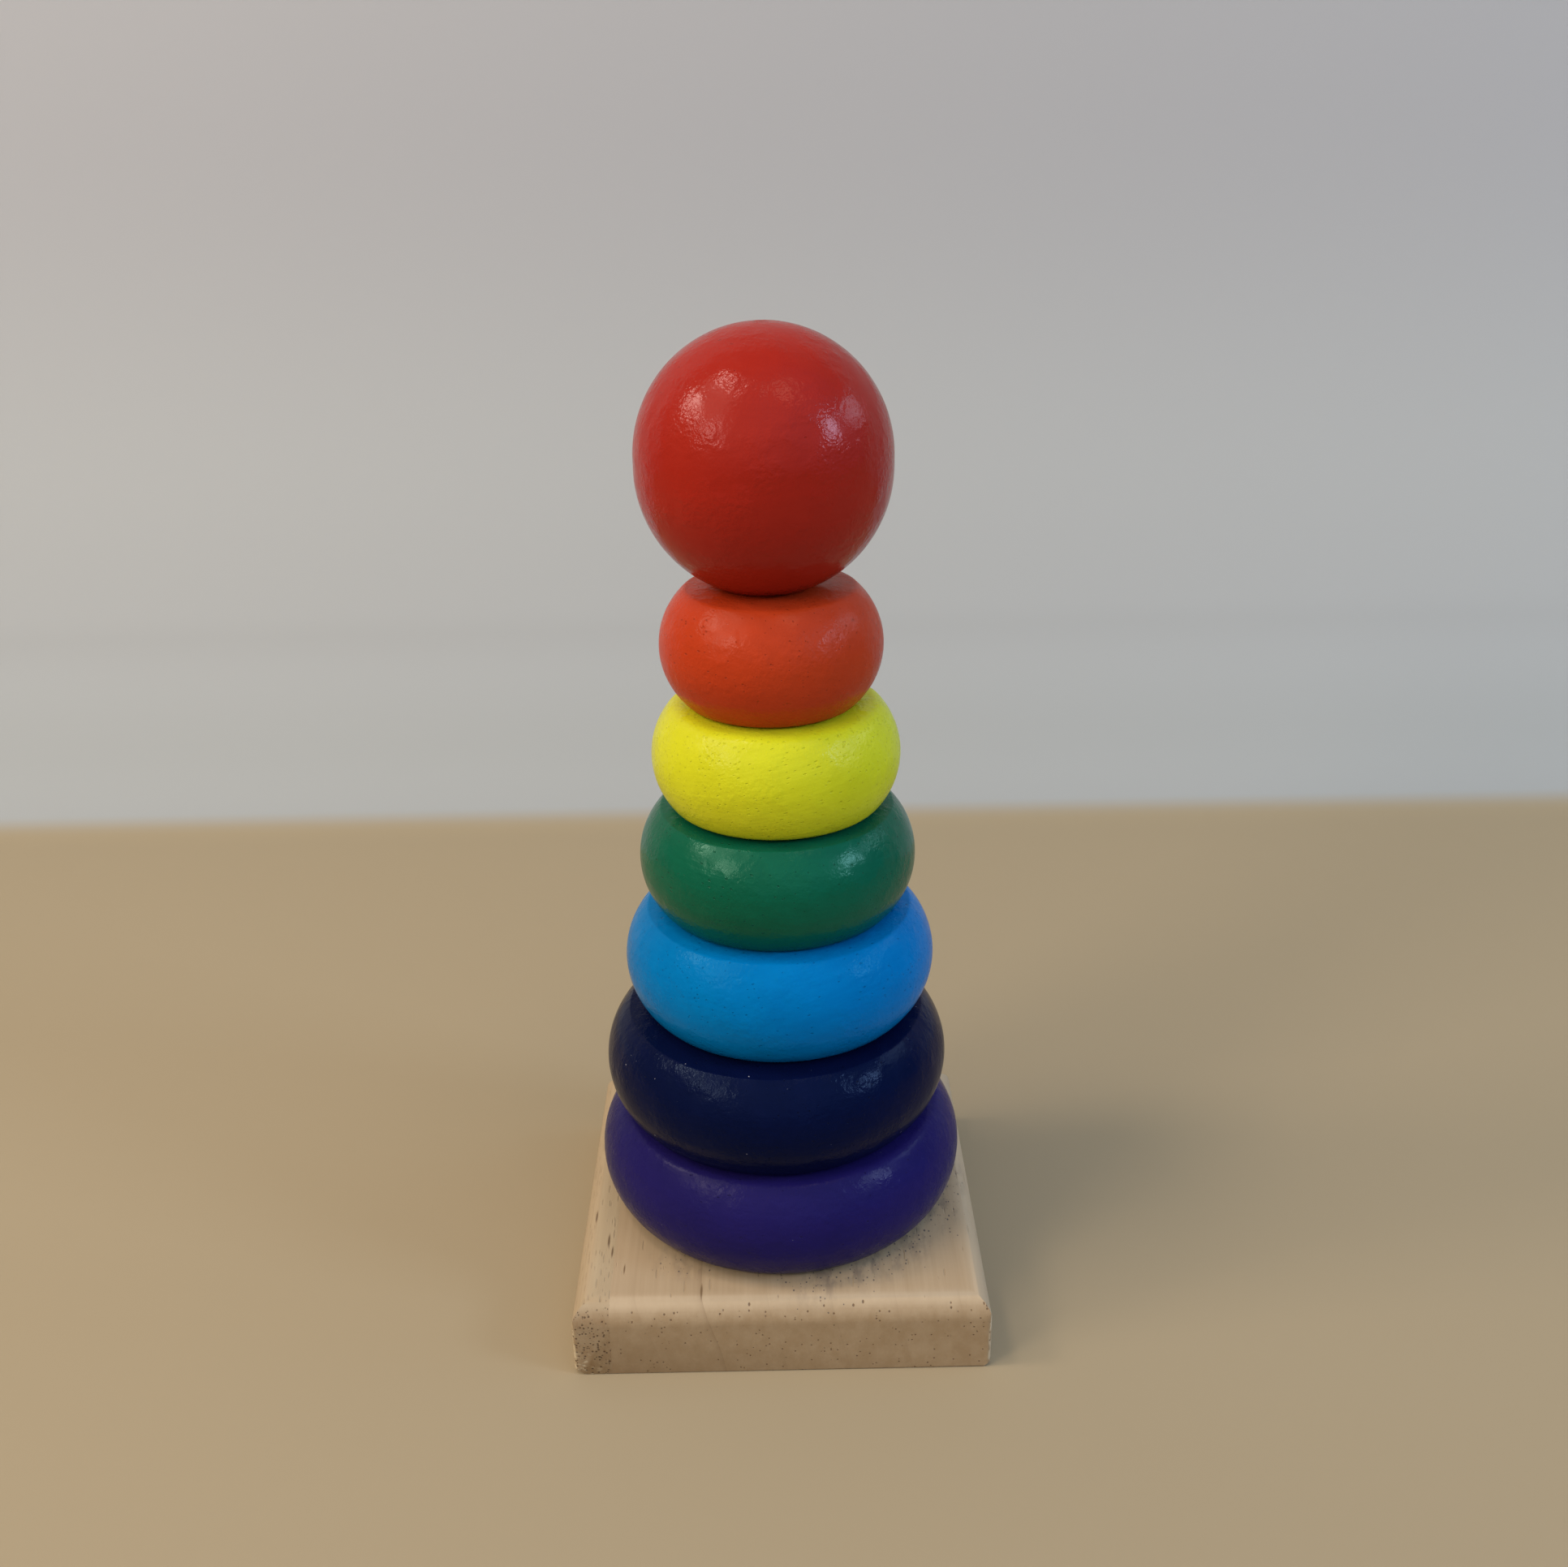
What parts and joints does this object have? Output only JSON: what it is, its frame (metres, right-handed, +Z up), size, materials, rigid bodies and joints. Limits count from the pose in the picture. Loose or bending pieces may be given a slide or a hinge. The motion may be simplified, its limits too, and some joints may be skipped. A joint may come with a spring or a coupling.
{
  "type": "stacking tower toy",
  "caption": "Wooden stacking toy: graded round-sided rings and a ball lift off a dowel peg that stands in a square base with rounded top edges.",
  "frame": {"origin": "middle of the underside of the base, on the surface that the toy stands on", "axes": "+Z up along the peg, -Y towards the front of the base as pictured, +X to the right"},
  "size_m": [0.075, 0.075, 0.1789],
  "materials": {
    "base_wood": "bare, sanded smooth",
    "strip_wood": "bare, sanded, open pores",
    "peg_wood": "bare, sanded smooth",
    "purple_paint": "satin paint over turned wood",
    "navy_paint": "satin paint over turned wood",
    "light_blue_paint": "satin paint over turned wood",
    "green_paint": "satin paint over turned wood",
    "yellow_paint": "satin paint over turned wood",
    "orange_paint": "satin paint over turned wood",
    "red_paint": "satin paint over turned wood"
  },
  "bodies": {
    "stand": {"base_board": "base_wood", "base_edge_strip": "strip_wood", "peg": "peg_wood"},
    "purple_ring": {"ring_purple": "purple_paint"},
    "navy_ring": {"ring_navy": "navy_paint"},
    "light_blue_ring": {"ring_light_blue": "light_blue_paint"},
    "green_ring": {"ring_green": "green_paint"},
    "yellow_ring": {"ring_yellow": "yellow_paint"},
    "orange_ring": {"ring_orange": "orange_paint"},
    "red_ball": {"ball": "red_paint"}
  },
  "joints": [
    {"name": "purple_lift", "type": "slide", "parent": "stand", "child": "purple_ring", "axis": [0, 0, 1], "range_m": [0, 0.14]},
    {"name": "navy_lift", "type": "slide", "parent": "purple_ring", "child": "navy_ring", "axis": [0, 0, 1], "range_m": [0, 0.121]},
    {"name": "light_blue_lift", "type": "slide", "parent": "navy_ring", "child": "light_blue_ring", "axis": [0, 0, 1], "range_m": [0, 0.1]},
    {"name": "green_lift", "type": "slide", "parent": "light_blue_ring", "child": "green_ring", "axis": [0, 0, 1], "range_m": [0, 0.08]},
    {"name": "yellow_lift", "type": "slide", "parent": "green_ring", "child": "yellow_ring", "axis": [0, 0, 1], "range_m": [0, 0.06]},
    {"name": "orange_lift", "type": "slide", "parent": "yellow_ring", "child": "orange_ring", "axis": [0, 0, 1], "range_m": [0, 0.041]},
    {"name": "ball_lift", "type": "slide", "parent": "orange_ring", "child": "red_ball", "axis": [0, 0, 1], "range_m": [0, 0.02]}
  ]
}
